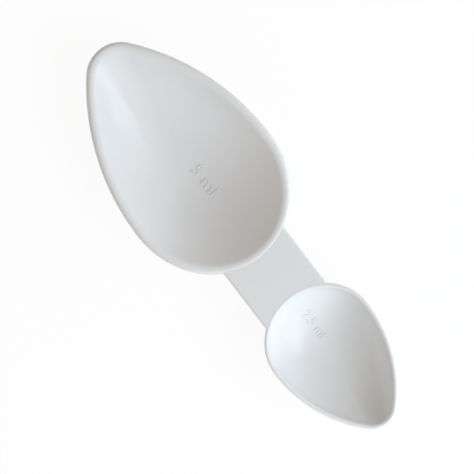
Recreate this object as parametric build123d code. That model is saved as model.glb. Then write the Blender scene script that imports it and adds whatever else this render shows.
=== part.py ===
from build123d import *
import math
import os

# Double-ended medicine spoon, moulded in one piece: a large and a small measuring bowl,
# both egg-shaped, their round heels joined by a short flat handle.
# Millimetres. +X runs along the spoon towards the small bowl's tip and +Z is up. The origin
# is on the surface that the spoon stands on, under the middle of its length and width.

# Large bowl: the rim's outer edge in plan. Reaches are measured from its widest section.
large_tip_reach = 36.0
large_heel_reach = 19.8
large_width = 35.4
large_tip_radius = 7.4
# The deepest point lies this far from the widest section, towards the tip.
large_deepest_forward = 5.0
# In any section through the deepest point, the inside is the lower part of an ellipse. The rim
# cuts the ellipse at this share of its half height: 0 makes the walls upright at the rim.
large_rim_ratio = 0.95
large_mouth_round = 1.2

# Small bowl, likewise.
small_tip_reach = 22.7
small_heel_reach = 11.4
small_width = 24.7
small_tip_radius = 5.3
small_deepest_forward = 2.5
small_rim_ratio = 0.2
small_mouth_round = 0.6

# Both bowls are equally deep inside, so that the spoon stands level while it is filled.
bowl_depth = 7.5
floor_thickness = 1.0

# Rim: a rounded lip that stands a little above the handle.
rim_width = 1.1
rim_round = 0.3
lip_height = 0.35
# The rim's upright outer side goes on below the handle's top by this much.
rim_skirt = 0.45

# Handle: a flat plate between the bowls. Its length is the clear length on the middle line.
handle_length = 9.7
handle_width = 16.1
handle_thickness = 1.4
handle_edge_round = 0.4
# Each corner between the handle and a bowl is rounded in plan by this radius and sweep, and
# the rounding ends this far inside the bowl's outline.
root_round = 1.0
root_sweep = 60
root_tuck = 0.1

# Rings that each bowl is lofted through, from its rim to its deepest point.
bowl_rings = 10
# Height by which the hollows are cut on above the rims.
cut_above = 1.0
# Degrees.
quarter_turn = 90


def egg_outline(tip_reach, heel_reach, half_width, tip_radius):
    """Closed outline, widest at the origin, with its tip towards +X: half an ellipse, two flank
    arcs that leave it along X, and a tip arc, each tangent to the next."""
    flank_radius = (tip_reach**2 - 2 * tip_reach * tip_radius + half_width**2) / (
        2 * (half_width - tip_radius)
    )
    flank_drop = flank_radius - half_width
    tip_centre = tip_reach - tip_radius
    # Both arcs' centres and the point where they meet lie on one line, at this angle to Y.
    lean = math.atan2(tip_centre, flank_drop)
    meet_x = tip_centre + tip_radius * math.sin(lean)
    meet_y = tip_radius * math.cos(lean)
    middle_x = flank_radius * math.sin(lean / 2)
    middle_y = flank_radius * math.cos(lean / 2) - flank_drop
    heel = EllipticalCenterArc(
        (0, 0), heel_reach, half_width, start_angle=quarter_turn, arc_size=2 * quarter_turn
    )
    right_flank = ThreePointArc((0, -half_width), (middle_x, -middle_y), (meet_x, -meet_y))
    tip = ThreePointArc((meet_x, -meet_y), (tip_reach, 0), (meet_x, meet_y))
    left_flank = ThreePointArc((meet_x, meet_y), (middle_x, middle_y), (0, half_width))
    return Wire([heel, right_flank, tip, left_flank])


class Bowl:
    """One bowl in its own frame: its widest section at the origin, its tip towards +X and its
    rim at height 0. Facing is +1 where its tip points to +X on the spoon, and -1 for -X."""

    def __init__(
        self, tip_reach, heel_reach, width, tip_radius, deepest_forward, rim_ratio, mouth_round, facing
    ):
        self.tip_reach = tip_reach
        self.heel_reach = heel_reach
        self.half_width = width / 2
        self.tip_radius = tip_radius
        self.deepest_forward = deepest_forward
        self.rim_ratio = rim_ratio
        self.mouth_round = mouth_round
        self.facing = facing
        self.widest_x = facing * (handle_length / 2 + heel_reach)

    def placed(self, shape):
        """The shape moved to the bowl's place on the spoon."""
        return Pos(self.widest_x, 0, 0) * Rot(0, 0, quarter_turn * (1 - self.facing)) * shape

    def ring(self, inset, share, height):
        """The rim's outer edge drawn in by inset, then shrunk towards the deepest point."""
        edge = egg_outline(
            share * (self.tip_reach - inset),
            share * (self.heel_reach - inset),
            share * (self.half_width - inset),
            share * (self.tip_radius - inset),
        )
        return Pos(self.deepest_forward * (1 - share), 0, height) * edge

    def dish(self, inset, top, depth):
        """The solid under one ring, that gets narrower down to the deepest point."""
        rim_angle = math.acos(self.rim_ratio)
        sections = []
        for step in range(bowl_rings):
            angle = rim_angle * (1 - step / bowl_rings)
            share = math.sin(angle) / math.sin(rim_angle)
            drop = depth * (math.cos(angle) - self.rim_ratio) / (1 - self.rim_ratio)
            sections.append(self.ring(inset, share, top - drop))
        sections.append(Vertex(self.deepest_forward, 0, top - depth))
        return Solid.make_loft(sections)

    def outside(self):
        """The form that the bowl has without its hollow, its rim's outer edge rounded."""
        skirt = lip_height + rim_skirt
        upright = extrude(Face(self.ring(0, 1, -skirt)), skirt, dir=(0, 0, 1))
        form = upright + self.dish(0, -skirt, bowl_depth + floor_thickness - skirt)
        return fillet(form.faces().sort_by(Axis.Z)[-1].edges(), rim_round)

    def capacity(self):
        """Millilitres that the bowl holds when it is full to the rim."""
        return self.dish(rim_width, 0, bowl_depth).volume / 1000

    def hollow(self):
        """What is cut from the bowl's form: the space inside, its mouth rounded outwards to the
        rim, and a layer over the rim."""
        over = extrude(Face(self.ring(-rim_width, 1, 0)), cut_above, dir=(0, 0, 1))
        space = over + self.dish(rim_width, 0, bowl_depth)
        underside = space.faces().filter_by(Plane.XY).sort_by(Axis.Z)[0]
        return fillet(underside.inner_wires()[0].edges(), self.mouth_round)

    def heel_x(self, y):
        """Where on the spoon the bowl's heel edge lies at this distance from the middle line."""
        return self.widest_x - self.facing * self.heel_reach * math.sqrt(1 - (y / self.half_width) ** 2)


def handle_side(start, end):
    """One long side of the handle in plan, from inside the bowl start to inside the bowl end,
    on the +Y side: straight, and turning outwards at each root."""
    side_y = handle_width / 2
    sweep = math.radians(root_sweep)
    root_y = side_y + root_round * (1 - math.cos(sweep))
    mid_y = side_y + root_round * (1 - math.cos(sweep / 2))
    edges = []
    straight_ends = []
    for bowl in (start, end):
        out = bowl.facing
        root_x = bowl.heel_x(root_y) + out * root_tuck
        straight_x = root_x - out * root_round * math.sin(sweep)
        mid_x = straight_x + out * root_round * math.sin(sweep / 2)
        edges.append(Line((bowl.widest_x, root_y), (root_x, root_y)))
        edges.append(ThreePointArc((root_x, root_y), (mid_x, mid_y), (straight_x, side_y)))
        straight_ends.append((straight_x, side_y))
    edges.append(Line(*straight_ends))
    return edges


def handle(start, end):
    """The flat plate, its long edges rounded. Its ends lie in the bowls' hollows."""
    side = handle_side(start, end)
    far_side = [edge.mirror(Plane.XZ) for edge in side]
    corner_y = side[0].bounding_box().max.Y
    ends = [Line((bowl.widest_x, corner_y), (bowl.widest_x, -corner_y)) for bowl in (start, end)]
    plan = Face(Wire(side + far_side + ends))
    plate = extrude(Pos(0, 0, -lip_height) * plan, handle_thickness, dir=(0, 0, -1))
    flat_edges = plate.edges().filter_by(Plane.XY)
    long_edges = [edge for edge in flat_edges if edge.bounding_box().size.X > root_tuck]
    return fillet(long_edges, handle_edge_round)


large = Bowl(
    large_tip_reach,
    large_heel_reach,
    large_width,
    large_tip_radius,
    large_deepest_forward,
    large_rim_ratio,
    large_mouth_round,
    facing=-1,
)
small = Bowl(
    small_tip_reach,
    small_heel_reach,
    small_width,
    small_tip_radius,
    small_deepest_forward,
    small_rim_ratio,
    small_mouth_round,
    facing=1,
)

# The handle and both bowls make one body before the hollows are cut. Rims are at height 0 here.
spoon = handle(large, small)
for bowl in (large, small):
    spoon += bowl.placed(bowl.outside())
for bowl in (large, small):
    spoon -= bowl.placed(bowl.hollow())
print(f"Brimful: large bowl {large.capacity():.2f} ml, small bowl {small.capacity():.2f} ml")

# Stood on the underside of its bowls, with the middle of its length over the origin.
rim_height = bowl_depth + floor_thickness
middle_x = (small.widest_x + small_tip_reach + large.widest_x - large_tip_reach) / 2
spoon = Pos(-middle_x, 0, rim_height) * spoon

os.makedirs("parts", exist_ok=True)
export_step(spoon, "parts/medicine_spoon.step")
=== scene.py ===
# %% [markdown]
# # A double-ended medicine spoon
#
# One piece of white plastic: a large and a small egg-shaped bowl, joined by a flat handle.
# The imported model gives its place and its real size. This lesson models the visible skin over it,
# gives it a plastic finish, and sets up a pale floor, soft light and a camera that looks down.

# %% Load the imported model
import math

import bmesh
import bpy
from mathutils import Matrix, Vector


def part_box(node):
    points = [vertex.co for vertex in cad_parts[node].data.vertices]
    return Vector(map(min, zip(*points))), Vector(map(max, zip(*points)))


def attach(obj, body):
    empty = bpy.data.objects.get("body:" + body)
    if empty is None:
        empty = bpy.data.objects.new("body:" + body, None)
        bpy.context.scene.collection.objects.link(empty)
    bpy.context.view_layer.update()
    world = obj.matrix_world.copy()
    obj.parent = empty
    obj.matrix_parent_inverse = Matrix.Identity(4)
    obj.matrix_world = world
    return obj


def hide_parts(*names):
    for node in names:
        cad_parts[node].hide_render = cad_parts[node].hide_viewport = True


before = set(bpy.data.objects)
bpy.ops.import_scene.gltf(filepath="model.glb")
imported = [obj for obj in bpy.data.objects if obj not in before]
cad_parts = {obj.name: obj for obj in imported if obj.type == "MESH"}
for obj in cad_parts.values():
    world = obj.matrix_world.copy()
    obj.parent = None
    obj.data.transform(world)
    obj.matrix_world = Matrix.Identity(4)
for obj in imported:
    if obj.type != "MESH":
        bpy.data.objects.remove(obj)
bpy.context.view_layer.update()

lowest, highest = (Vector(corner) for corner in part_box("medicine_spoon"))
sides = [round(1000 * side, 1) for side in highest - lowest]
print("The spoon is", sides, "mm long, wide and high")

# %% [markdown]
# ## Sizes
#
# Blender works in metres here, and a spoon is easier to think about in millimetres, so each size
# is written as a number of millimetres times MM. The tips, the widest line and the rim's height
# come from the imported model. What is left are the sizes that shape each bowl and the handle.

# %% Sizes
MM = 0.001
# Vertices closer together than this count as one, and so do the ends of two drawn halves that are
# no further apart than SEAM_GAP.
NO_LENGTH = 0.001 * MM
SEAM_GAP = 0.01 * MM
SMOOTH_ANGLE = math.radians(35)
OUTLINE_SEGMENTS = 96
RINGS = 22
BEVEL_SEGMENTS = 6
ROOT_SEGMENTS = 6

rim_z = highest.z
spoon_width = highest.y - lowest.y

LARGE = {
    "name": "large_bowl",
    "facing": -1,
    "tip_reach": 36.0 * MM,
    "heel_reach": 19.8 * MM,
    "half_width": spoon_width / 2,
    "tip_radius": 7.4 * MM,
    "deepest": 5.0 * MM,
    "rim_cut": 0.95,
    "rim_width": 1.6 * MM,
    "mouth_bevel": 0.6 * MM,
    "rim_round": 0.9 * MM,
    "handle_drop": 0.12 * MM,
    "root_tuck": 0.6 * MM,
    "trimmer_size": 0.972,
}
SMALL = {
    "name": "small_bowl",
    "facing": 1,
    "tip_reach": 22.7 * MM,
    "heel_reach": 11.4 * MM,
    "half_width": 12.35 * MM,
    "tip_radius": 5.3 * MM,
    "deepest": 2.5 * MM,
    "rim_cut": 0.2,
    "rim_width": 0.85 * MM,
    "mouth_bevel": 0.45 * MM,
    "rim_round": 0.3 * MM,
    "handle_drop": 0.01 * MM,
    "root_tuck": 0.25 * MM,
    "trimmer_size": 0.971,
}
LARGE["widest_x"] = lowest.x + LARGE["tip_reach"]
SMALL["widest_x"] = highest.x - SMALL["tip_reach"]

floor_thickness = 1.0 * MM
bowl_depth = rim_z - floor_thickness
skirt = 1.0 * MM

handle_width = 16.1 * MM
handle_thickness = 1.6 * MM
handle_round = 0.4 * MM
root_round = 1.0 * MM
root_sweep = math.radians(60)

for bowl in (LARGE, SMALL):
    print(bowl["name"], "is widest at x =", round(bowl["widest_x"] / MM, 2), "mm")

# %% [markdown]
# ## Starting a piece
#
# Operators act on whatever is selected, as they do by hand, so every new piece starts by
# deselecting everything. A drawn outline starts from a single vertex: a plane is added, all but
# one of its corners are deleted, and the last one is moved to where the drawing begins.


# %% Helpers for edit mode
def select_only(piece):
    """Makes this piece the only selected one, and the active one."""
    bpy.ops.object.select_all(action="DESELECT")
    piece.select_set(True)
    bpy.context.view_layer.objects.active = piece


def start_from_vertex(name, place):
    """A new mesh, left in edit mode, that holds one selected vertex at this place."""
    bpy.ops.object.select_all(action="DESELECT")
    bpy.ops.mesh.primitive_plane_add(size=MM, location=(0, 0, 0))
    piece = bpy.context.active_object
    piece.name = name
    piece.data.name = name
    bpy.ops.object.mode_set(mode="EDIT")
    bpy.ops.mesh.select_mode(type="VERT")
    mesh = bmesh.from_edit_mesh(piece.data)
    for vertex in mesh.verts:
        vertex.select = vertex.co.x < 0 or vertex.co.y < 0
    mesh.select_flush_mode()
    bpy.ops.mesh.delete(type="VERT")
    bpy.ops.mesh.select_all(action="SELECT")
    bpy.ops.transform.translate(value=Vector(place) - Vector((MM / 2, MM / 2, 0)))
    return piece


def sweep_arc(centre, angle, steps):
    """Sweeps the selected vertex about the centre, anticlockwise seen from above."""
    bpy.ops.mesh.spin(steps=steps, angle=-angle, center=centre, axis=(0, 0, 1))


def pick(piece, kind, wanted):
    """In edit mode, selects the vertices, edges or faces for which wanted says yes."""
    bpy.ops.mesh.select_mode(type={"verts": "VERT", "edges": "EDGE", "faces": "FACE"}[kind])
    bpy.ops.mesh.select_all(action="DESELECT")
    mesh = bmesh.from_edit_mesh(piece.data)
    count = 0
    for part in getattr(mesh, kind):
        if wanted(part):
            part.select = True
            count += 1
    mesh.select_flush_mode()
    bmesh.update_edit_mesh(piece.data)
    return count


def describe(piece):
    """Prints how many faces the piece has, its volume and its box, to check each step."""
    mesh = bmesh.new()
    mesh.from_mesh(piece.data)
    volume = mesh.calc_volume(signed=True) / MM**3
    open_edges = sum(len(edge.link_faces) != 2 for edge in mesh.edges)
    corners = [vertex.co / MM for vertex in mesh.verts]
    mesh.free()
    low = [round(min(corner[axis] for corner in corners), 2) for axis in range(3)]
    high = [round(max(corner[axis] for corner in corners), 2) for axis in range(3)]
    faces = len(piece.data.polygons)
    form = f"{faces} faces, {volume:.0f} mm3, {open_edges} open edges"
    print(f"{piece.name}: {form}, {low} to {high}")


# %% [markdown]
# ## The rim's outline
#
# Seen from above, the rim is an egg: half an ellipse at the heel, a long flank arc on each side and
# a small arc round the tip, each flowing into the next. Each arc is swept with Spin, which turns
# the selected vertex about the arc's centre. Only one half is drawn, and its copy is mirrored. A
# circle that is pulled into shape would be quicker, but its flanks would come out too pointed.


# %% Draw an egg-shaped outline
QUARTER_TURN = math.pi / 2
# How the segments of half an outline are shared out between its three arcs.
TIP_SHARE, FLANK_SHARE, HEEL_SHARE = 0.24, 0.40, 0.36


def draw_outline(bowl, segments):
    """A closed loop round the bowl's mouth, widest on the Y axis and with its tip towards +X."""
    tip, half, radius = bowl["tip_reach"], bowl["half_width"], bowl["tip_radius"]
    tip_centre = tip - radius
    flank_radius = (tip**2 - 2 * tip * radius + half**2) / (2 * (half - radius))
    flank_centre_y = half - flank_radius
    lean = math.atan2(tip_centre, -flank_centre_y)
    piece = start_from_vertex(bowl["name"], (tip, 0, 0))
    for centre, sweep, share in (
        ((tip_centre, 0, 0), QUARTER_TURN - lean, TIP_SHARE),
        ((0, flank_centre_y, 0), lean, FLANK_SHARE),
        ((0, 0, 0), QUARTER_TURN, HEEL_SHARE),
    ):
        sweep_arc(centre, sweep, round(segments * share))
    pick(piece, "verts", lambda vertex: vertex.co.x < 0)
    bpy.ops.transform.resize(value=(bowl["heel_reach"] / half, 1, 1), center_override=(0, 0, 0))
    bpy.ops.mesh.select_all(action="SELECT")
    bpy.ops.mesh.duplicate()
    bpy.ops.transform.resize(value=(1, -1, 1), center_override=(0, 0, 0))
    bpy.ops.mesh.select_all(action="SELECT")
    bpy.ops.mesh.remove_doubles(threshold=SEAM_GAP)
    return piece


# %% [markdown]
# ## The bowl's outer form
#
# The outline is filled, and its face is extruded down a little for the upright skirt under the
# rim. Then the bottom face is extruded again and again, and each time it is shrunk towards the
# bowl's deepest point, along the lower part of an ellipse. The last face closes to a point. The
# rings are close together near the rim, where the wall turns most.


# %% Sink a face ring by ring
def sink_face(bowl, depth, rings):
    """Extrudes the selected face down to the deepest point, along the lower part of an ellipse."""
    deepest = (bowl["deepest"], 0, 0)
    rim_angle = math.acos(bowl["rim_cut"])
    share_before = 1.0
    drop_before = 0.0
    for ring in range(1, rings + 1):
        angle = rim_angle * (1 - ring / rings)
        share = math.sin(angle) / math.sin(rim_angle)
        drop = depth * (math.cos(angle) - bowl["rim_cut"]) / (1 - bowl["rim_cut"])
        fall = (0, 0, drop_before - drop)
        bpy.ops.mesh.extrude_region_move(TRANSFORM_OT_translate={"value": fall})
        if ring < rings:
            size = share / share_before
            bpy.ops.transform.resize(value=(size, size, 1), center_override=deepest)
        share_before = share
        drop_before = drop
    bpy.ops.mesh.merge(type="CENTER")


def make_outer_form(bowl, segments, rings):
    """A closed solid of the bowl without its hollow, its rim at height 0."""
    piece = draw_outline(bowl, segments)
    bpy.ops.mesh.edge_face_add()
    bpy.ops.mesh.extrude_region_move(TRANSFORM_OT_translate={"value": (0, 0, -skirt)})
    sink_face(bowl, bowl_depth + floor_thickness - skirt, rings)
    bpy.ops.mesh.select_all(action="SELECT")
    bpy.ops.mesh.normals_make_consistent(inside=False)
    bpy.ops.object.mode_set(mode="OBJECT")
    return piece


forms = {}
for bowl in (LARGE, SMALL):
    forms[bowl["name"]] = make_outer_form(bowl, OUTLINE_SEGMENTS, RINGS)
    describe(forms[bowl["name"]])

# %% [markdown]
# ## Copies that will trim the handle
#
# The handle has to end inside the bowls' walls. A slightly smaller copy of each outer form lies
# halfway through the wall, so it can cut the handle to length. It is easiest to copy the form now,
# while it is still a solid.


# %% Copy each outer form as a trimmer
def copy_as_trimmer(form, bowl, size):
    """A copy of the form, shrunk towards the middle of its mouth."""
    select_only(form)
    bpy.ops.object.duplicate()
    trimmer = bpy.context.active_object
    trimmer.name = bowl["name"] + "_trimmer"
    bpy.ops.object.mode_set(mode="EDIT")
    bpy.ops.mesh.select_all(action="SELECT")
    centre = (bowl["deepest"], 0, 0)
    bpy.ops.transform.resize(value=(size, size, size), center_override=centre)
    bpy.ops.object.mode_set(mode="OBJECT")
    return trimmer


trimmers = {}
for bowl in (LARGE, SMALL):
    form = forms[bowl["name"]]
    trimmers[bowl["name"]] = copy_as_trimmer(form, bowl, bowl["trimmer_size"])

# %% [markdown]
# ## The hollow and the rim
#
# The top face is inset by the rim's width, and the face inside it is sunk ring by ring like the
# underside. Moulded plastic has no sharp edge where a lip touches it, so both edges of the rim are
# then rounded with Bevel. On the large bowl the outer round is the wider one, and almost meets the
# one into the mouth, so its rim is a soft crown. The small bowl's rim is narrower and flatter.


# %% Hollow each bowl and round its rim
# A face counts as level or upright by how much its normal points up.
LEVEL = 0.99
UPRIGHT = 0.001


def hollow_bowl(form, bowl, rings):
    """Insets the form's top face by the rim's width, and sinks the face inside it."""
    select_only(form)
    bpy.ops.object.mode_set(mode="EDIT")
    pick(form, "faces", lambda face: face.normal.z > LEVEL)
    bpy.ops.mesh.inset(thickness=bowl["rim_width"], depth=0, use_even_offset=True)
    sink_face(bowl, bowl_depth, rings)
    bpy.ops.mesh.select_all(action="SELECT")
    bpy.ops.mesh.normals_make_consistent(inside=False)
    bpy.ops.object.mode_set(mode="OBJECT")


def round_rim(form, bowl, segments):
    """Bevels the rim's mouth edge, then its outer edge."""
    bpy.ops.object.mode_set(mode="EDIT")
    for offset, into_mouth in ((bowl["mouth_bevel"], True), (bowl["rim_round"], False)):

        def on_rim_edge(edge, into_mouth=into_mouth):
            if max(abs(vertex.co.z) for vertex in edge.verts) > NO_LENGTH:
                return False
            steep, level = sorted(abs(face.normal.z) for face in edge.link_faces)
            if level < LEVEL or steep > LEVEL:
                return False
            upright = steep < UPRIGHT
            return upright != into_mouth

        found = pick(form, "edges", on_rim_edge)
        bpy.ops.mesh.bevel(offset=offset, segments=segments, profile=0.5, affect="EDGES")
        print(form.name, "rounded", found, "edges by", round(offset / MM, 2), "mm")
    bpy.ops.object.mode_set(mode="OBJECT")


for bowl in (LARGE, SMALL):
    hollow_bowl(forms[bowl["name"]], bowl, RINGS)
    describe(forms[bowl["name"]])
    round_rim(forms[bowl["name"]], bowl, BEVEL_SEGMENTS)
    describe(forms[bowl["name"]])

# %% [markdown]
# ## Bowls to their places
#
# Both bowls were drawn at the origin with their tips towards +X. In edit mode, the large one is
# turned half round, and both are moved to their place. The objects stay at the origin, and so does
# every pattern that their material reads from object coordinates.


# %% Place the bowls and their trimmers
def place_bowl(piece, bowl):
    """Turns and moves the piece's mesh to the bowl's place on the spoon."""
    select_only(piece)
    bpy.ops.object.mode_set(mode="EDIT")
    bpy.ops.mesh.select_all(action="SELECT")
    if bowl["facing"] < 0:
        bpy.ops.transform.rotate(value=math.pi, orient_axis="Z", center_override=(0, 0, 0))
    bpy.ops.transform.translate(value=(bowl["widest_x"], 0, rim_z))
    bpy.ops.object.mode_set(mode="OBJECT")


for bowl in (LARGE, SMALL):
    place_bowl(forms[bowl["name"]], bowl)
    place_bowl(trimmers[bowl["name"]], bowl)
    describe(forms[bowl["name"]])
    describe(trimmers[bowl["name"]])

# %% [markdown]
# ## The handle
#
# The handle is a flat plate that climbs by a tenth of a millimetre: at the large bowl the crown of
# the rim stands over it, and at the small bowl it is all but flush. Its long side is straight, and
# turns outwards where it meets each bowl. Those corners end a little inside the bowl, because the
# rim's rounded side draws back there. The line is drawn once from a vertex, its copy is mirrored,
# and the two are bridged. The plate is then extruded down, its long edges are rounded, and its ends
# are trimmed off.
#
# Smooth shading bends the light on a large flat face towards the small faces round it, so after
# the parts are joined the edges round the handle's flats are marked sharp.


# %% Draw and thicken the handle
def heel_x(bowl, y):
    """Where the bowl's heel edge lies at this distance from the middle line."""
    share = math.sqrt(1 - (y / bowl["half_width"]) ** 2)
    return bowl["widest_x"] - bowl["facing"] * bowl["heel_reach"] * share


side_y = handle_width / 2
root_y = side_y + root_round * (1 - math.cos(root_sweep))
root_length = root_round * math.sin(root_sweep)
straight_start = heel_x(LARGE, root_y) - LARGE["root_tuck"] + root_length
straight_end = heel_x(SMALL, root_y) + SMALL["root_tuck"] - root_length

start_z = rim_z - LARGE["handle_drop"]
rise = LARGE["handle_drop"] - SMALL["handle_drop"]
handle = start_from_vertex("handle", (LARGE["widest_x"], root_y, start_z))
for length, climb, centre_x in (
    (straight_start - root_length - LARGE["widest_x"], 0, straight_start),
    (straight_end - straight_start, rise, straight_end),
):
    bpy.ops.mesh.extrude_region_move(TRANSFORM_OT_translate={"value": (length, 0, climb)})
    sweep_arc((centre_x, side_y + root_round, 0), root_sweep, ROOT_SEGMENTS)
last_length = SMALL["widest_x"] - (straight_end + root_length)
bpy.ops.mesh.extrude_region_move(TRANSFORM_OT_translate={"value": (last_length, 0, 0)})
bpy.ops.mesh.select_all(action="SELECT")
bpy.ops.mesh.duplicate()
bpy.ops.transform.resize(value=(1, -1, 1), center_override=(0, 0, 0))
bpy.ops.mesh.select_all(action="SELECT")
bpy.ops.mesh.bridge_edge_loops()
bpy.ops.mesh.extrude_region_move(TRANSFORM_OT_translate={"value": (0, 0, -handle_thickness)})
bpy.ops.mesh.select_all(action="SELECT")
bpy.ops.mesh.normals_make_consistent(inside=False)


def along_a_long_edge(edge):
    """True for an edge of the plate's flat faces that runs along one of its sides."""
    first, second = (vertex.co for vertex in edge.verts)
    flat = abs(first.z - second.z) < 0.5 * handle_thickness
    at_a_side = min(abs(first.y), abs(second.y)) > 0.9 * side_y
    return flat and at_a_side and abs(first.y - second.y) < side_y


found = pick(handle, "edges", along_a_long_edge)
bpy.ops.mesh.bevel(offset=handle_round, segments=BEVEL_SEGMENTS, profile=0.5, affect="EDGES")
bpy.ops.object.mode_set(mode="OBJECT")
print("handle rounded", found, "edges")
describe(handle)


# %% Trim the handle and join the three parts
def apply_boolean(piece, other, operation):
    """Joins or cuts the piece with the other one, which is used up."""
    select_only(piece)
    boolean = piece.modifiers.new("Boolean", "BOOLEAN")
    boolean.operation = operation
    boolean.solver = "MANIFOLD"
    boolean.object = other
    bpy.ops.object.modifier_apply(modifier=boolean.name)
    bpy.data.objects.remove(other, do_unlink=True)
    describe(piece)


for bowl in (LARGE, SMALL):
    apply_boolean(handle, trimmers[bowl["name"]], "DIFFERENCE")
spoon = forms["large_bowl"]
apply_boolean(spoon, handle, "UNION")
apply_boolean(spoon, forms["small_bowl"], "UNION")
spoon.name = "spoon_skin"
spoon.data.name = "spoon_skin"
bpy.ops.object.shade_smooth_by_angle(angle=SMOOTH_ANGLE)

# Faces larger than this belong to the handle's flats.
flat_area = 1.5 * MM**2


def around_a_flat(edge):
    """True for an edge between one of the handle's large flat faces and a small curved one."""
    areas = sorted(face.calc_area() for face in edge.link_faces)
    return areas[0] < flat_area < areas[-1]


bpy.ops.object.mode_set(mode="EDIT")
found = pick(spoon, "edges", around_a_flat)
bpy.ops.mesh.mark_sharp()
bpy.ops.object.mode_set(mode="OBJECT")
print("spoon has", len(spoon.data.polygons), "faces and", found, "edges round its flats")

# %% [markdown]
# ## Raised volume marks
#
# A medicine spoon has to say how much each bowl holds, so a plain number with its unit stands a
# fraction of a millimetre proud of each bowl's floor. A text object gives the outlines of the
# figures. It is turned into a mesh, cut into short pieces so that it can bend, laid down on the
# floor with Shrinkwrap, and thickened with Solidify. A bump texture would be simpler, but a mould
# really has these figures cut into it.


# %% Lay a mark on a bowl's floor
def flat_box(piece):
    """The lowest and highest corner of the piece in plan."""
    xs = [vertex.co.x for vertex in piece.data.vertices]
    ys = [vertex.co.y for vertex in piece.data.vertices]
    return Vector((min(xs), min(ys), 0)), Vector((max(xs), max(ys), 0))


def apply_modifier(piece, kind, **settings):
    """Adds a modifier of this kind with these settings, and applies it."""
    modifier = piece.modifiers.new(kind.title(), kind)
    for setting, value in settings.items():
        setattr(modifier, setting, value)
    bpy.ops.object.modifier_apply(modifier=modifier.name)


def make_mark(name, words, centre, length, height, cut_every=0.3 * MM):
    """Raised words that read along +X, laid down on the bowl under their centre."""
    bpy.ops.object.select_all(action="DESELECT")
    bpy.ops.object.text_add(location=(0, 0, 0))
    text = bpy.context.active_object
    text.data.body = words
    text.data.size = height
    text.data.resolution_u = 6
    bpy.ops.object.convert(target="MESH")
    piece = bpy.context.active_object
    piece.name = name
    piece.data.name = name
    low, high = flat_box(piece)
    size = high - low
    bpy.ops.object.mode_set(mode="EDIT")
    bpy.ops.mesh.select_all(action="SELECT")
    bpy.ops.mesh.remove_doubles(threshold=NO_LENGTH)
    stretch = (length / size.x, height / size.y, 1)
    bpy.ops.transform.resize(value=stretch, center_override=(low + high) / 2)
    bpy.ops.transform.translate(value=Vector(centre) - (low + high) / 2)
    for direction, reach in (((1, 0, 0), length), ((0, 1, 0), height)):
        direction = Vector(direction)
        cuts = int(reach / cut_every)
        for cut in range(1, cuts):
            place = Vector(centre) + direction * reach * (cut / cuts - 0.5)
            bpy.ops.mesh.select_all(action="SELECT")
            bpy.ops.mesh.bisect(plane_co=place, plane_no=direction)
    bpy.ops.object.mode_set(mode="OBJECT")
    apply_modifier(
        piece, "SHRINKWRAP", target=spoon, wrap_method="PROJECT", use_project_z=True,
        use_negative_direction=True, use_positive_direction=False,
    )
    apply_modifier(piece, "SOLIDIFY", thickness=mark_height + mark_sink, offset=1)
    bpy.ops.object.mode_set(mode="EDIT")
    bpy.ops.mesh.select_all(action="SELECT")
    bpy.ops.transform.translate(value=(0, 0, -mark_sink))
    bpy.ops.mesh.normals_make_consistent(inside=False)
    bpy.ops.object.mode_set(mode="OBJECT")
    bpy.ops.object.shade_smooth_by_angle(angle=SMOOTH_ANGLE)
    describe(piece)
    return piece


mark_height = 0.11 * MM
mark_sink = 0.06 * MM
marks = [
    make_mark("mark_5_ml", "5 ml", (-14.5 * MM, 0.9 * MM, 2 * rim_z), 7.0 * MM, 2.6 * MM),
    make_mark("mark_2_5_ml", "2.5 ml", (24.0 * MM, 0.75 * MM, 2 * rim_z), 6.5 * MM, 2.0 * MM),
]

# %% [markdown]
# ## White plastic
#
# The spoon is moulded from white polypropylene. It is never one flat colour: the pigment is a
# little cloudy, light sinks a fraction of a millimetre into it, and the polish of the mould leaves
# a soft gloss that varies from place to place, over a skin that is very slightly uneven.
#
# All patterns read Object coordinates, in metres, so a noise scale of 100 has features of about a
# hundredth of a metre. What is the same all over, such as the refraction, is set on the shader.

# %% White plastic
def add_node(tree, kind, label, values=None, **settings):
    """A node with its label, its settings and the values of its sockets."""
    node = tree.nodes.new(kind)
    node.label = label
    for setting, value in settings.items():
        setattr(node, setting, value)
    for socket, value in (values or {}).items():
        node.inputs[socket].default_value = value
    return node


plastic = bpy.data.materials.new("white_plastic")
plastic.use_nodes = True
tree = plastic.node_tree
link = tree.links.new
shader = tree.nodes["Principled BSDF"]
shader.inputs["IOR"].default_value = 1.49
shader.inputs["Subsurface Weight"].default_value = 0.12
shader.inputs["Subsurface Radius"].default_value = (1.0, 0.95, 0.9)
shader.inputs["Subsurface Scale"].default_value = 0.5 * MM
place = add_node(tree, "ShaderNodeTexCoord", "place")


def noise_between(label, scale, detail, low, high):
    """A noise on Object coordinates, spread over the values from low to high."""
    noise = add_node(tree, "ShaderNodeTexNoise", label, {"Scale": scale, "Detail": detail})
    link(place.outputs["Object"], noise.inputs["Vector"])
    spread = add_node(
        tree, "ShaderNodeMapRange", label + " spread",
        {"From Min": 0.3, "From Max": 0.7, "To Min": low, "To Max": high},
    )
    link(noise.outputs["Fac"], spread.inputs["Value"])
    return spread.outputs["Result"]


# %% Cloudy pigment
pigment = add_node(tree, "ShaderNodeMix", "pigment", data_type="RGBA")
pigment.inputs["A"].default_value = (0.740, 0.745, 0.745, 1)
pigment.inputs["B"].default_value = (0.765, 0.770, 0.772, 1)
link(noise_between("clouds", 70, 3, 0, 1), pigment.inputs["Factor"])
link(pigment.outputs["Result"], shader.inputs["Base Color"])

# %% Uneven gloss
link(noise_between("polish", 160, 4, 0.12, 0.2), shader.inputs["Roughness"])

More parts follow.
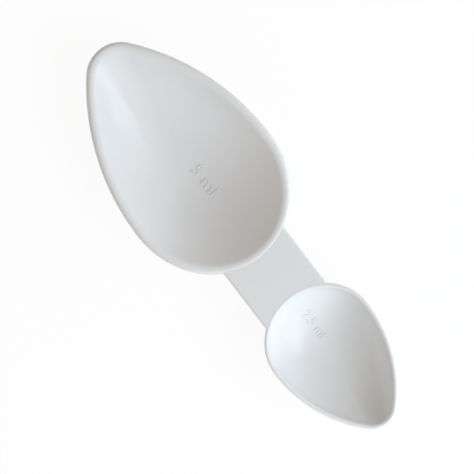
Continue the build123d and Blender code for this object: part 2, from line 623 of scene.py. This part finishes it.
# %% Uneven skin
peel = add_node(tree, "ShaderNodeBump", "mould skin", {"Strength": 1.0, "Distance": 1.0})
link(noise_between("peel", 700, 2, 0, 0.004 * MM), peel.inputs["Height"])
grain = add_node(tree, "ShaderNodeBump", "fine grain", {"Strength": 1.0, "Distance": 1.0})
link(noise_between("grain", 4500, 2, 0, 0.0008 * MM), grain.inputs["Height"])
link(peel.outputs["Normal"], grain.inputs["Normal"])
link(grain.outputs["Normal"], shader.inputs["Normal"])

# %% Give every piece its finish and its place
for piece in [spoon] + marks:
    piece.data.materials.clear()
    piece.data.materials.append(plastic)
    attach(piece, "root")
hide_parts("medicine_spoon")

# %% [markdown]
# ## Floor
#
# The spoon lies on a plain white sheet. Most of what the camera sees there is an even white, and
# the rest is an ordinary matt white that keeps the spoon's faint shadow.

# %% Floor
floor_size = 2.0
even_white_share = 0.92
bpy.ops.object.select_all(action="DESELECT")
bpy.ops.mesh.primitive_plane_add(size=floor_size, location=(0, 0, 0))
floor = bpy.context.active_object
floor.name = "floor"
paper = bpy.data.materials.new("white_paper")
paper.use_nodes = True
tree = paper.node_tree
link = tree.links.new
matt = tree.nodes["Principled BSDF"]
matt.inputs["Base Color"].default_value = (0.97, 0.97, 0.97, 1)
matt.inputs["Roughness"].default_value = 0.9
matt.inputs["Specular IOR Level"].default_value = 0.1
even = add_node(tree, "ShaderNodeEmission", "even white", {"Strength": 1.0})
ray = add_node(tree, "ShaderNodeLightPath", "ray")
seen = add_node(tree, "ShaderNodeMath", "seen by camera or in gloss", operation="MAXIMUM")
share = add_node(
    tree, "ShaderNodeMath", "share of even white", {1: even_white_share}, operation="MULTIPLY"
)
mix = add_node(tree, "ShaderNodeMixShader", "paper")
link(ray.outputs["Is Camera Ray"], seen.inputs[0])
link(ray.outputs["Is Glossy Ray"], seen.inputs[1])
link(seen.outputs[0], share.inputs[0])
link(share.outputs[0], mix.inputs["Fac"])
link(matt.outputs[0], mix.inputs[1])
link(even.outputs[0], mix.inputs[2])
link(mix.outputs[0], tree.nodes["Material Output"].inputs["Surface"])
floor.data.materials.append(paper)

# %% [markdown]
# ## Camera
#
# The photograph looks straight down from far away, with the spoon turned 52.6 degrees. A long lens
# from above gives the same flat view.

# %% Camera
view_span = 99.8 * MM
view_centre = Vector((-0.75 * MM, -1.11 * MM, rim_z))
view_turn = 52.6
camera_height = 0.6
camera_data = bpy.data.cameras.new("camera")
camera = bpy.data.objects.new("camera", camera_data)
bpy.context.collection.objects.link(camera)
camera_data.sensor_width = 36
camera_data.lens = camera_data.sensor_width * camera_height / view_span
camera.location = view_centre + Vector((0, 0, camera_height))
camera.rotation_euler = (0, 0, math.radians(view_turn))
camera_data.clip_start = 0.01
bpy.context.scene.camera = camera

# %% [markdown]
# ## Light
#
# Three soft lamps stand for the daylight that fills the room: most of it comes from the lower
# right of the picture, so the walls that face it are almost white and the far walls fall into
# shade. They are too large and close to look right as reflections, so gloss doesn't show them.
# What it does show is a window of two panes, which leaves a faint bright spot in the small bowl
# and a streak by the large bowl's tip. The daylight is a little blue, and the light from the rest
# of the room a little warm, so the shaded walls are a warmer grey.

# %% Light from all round
world = bpy.context.scene.world or bpy.data.worlds.new("world")
bpy.context.scene.world = world
world.use_nodes = True
background = world.node_tree.nodes["Background"]
background.inputs["Color"].default_value = (1, 0.89, 0.79, 1)
background.inputs["Strength"].default_value = 0.465


# %% Daylight
def image_direction(degrees_below_right):
    """A level direction in the object's frame, from its angle below the picture's right."""
    turn = math.radians(view_turn - degrees_below_right)
    return Vector((math.cos(turn), math.sin(turn), 0))


def add_lamp(name, direction, elevation, distance, size, power, colour):
    """A square lamp that faces the middle of the view."""
    data = bpy.data.lights.new(name, "AREA")
    lamp = bpy.data.objects.new(name, data)
    bpy.context.collection.objects.link(lamp)
    data.size = size
    data.energy = power
    data.color = colour
    rise = math.radians(elevation)
    towards = direction * math.cos(rise) + Vector((0, 0, math.sin(rise)))
    lamp.location = view_centre + towards * distance
    lamp.rotation_euler = towards.to_track_quat("Z", "Y").to_euler()
    return lamp


cool_white = (0.77, 0.89, 1.0)
lamp_distance = 0.45
pane_elevation = 38
pane_size = 0.16
for name, degrees_below_right, elevation, size, power in (
    ("daylight_right", -30, 12, 0.2, 0.29),
    ("daylight", 30, 30, 0.3, 1.68),
    ("daylight_below", 120, 30, 0.3, 0.39),
):
    direction = image_direction(degrees_below_right)
    lamp = add_lamp(name, direction, elevation, lamp_distance, size, power, cool_white)
    lamp.visible_glossy = False

# %% Window of two panes
for name, degrees_below_right, power in (("left_pane", -2, 0.15), ("right_pane", 22, 0.12)):
    direction = image_direction(degrees_below_right)
    add_lamp(name, direction, pane_elevation, lamp_distance, pane_size, power, cool_white)

bpy.context.scene.view_settings.view_transform = "Standard"
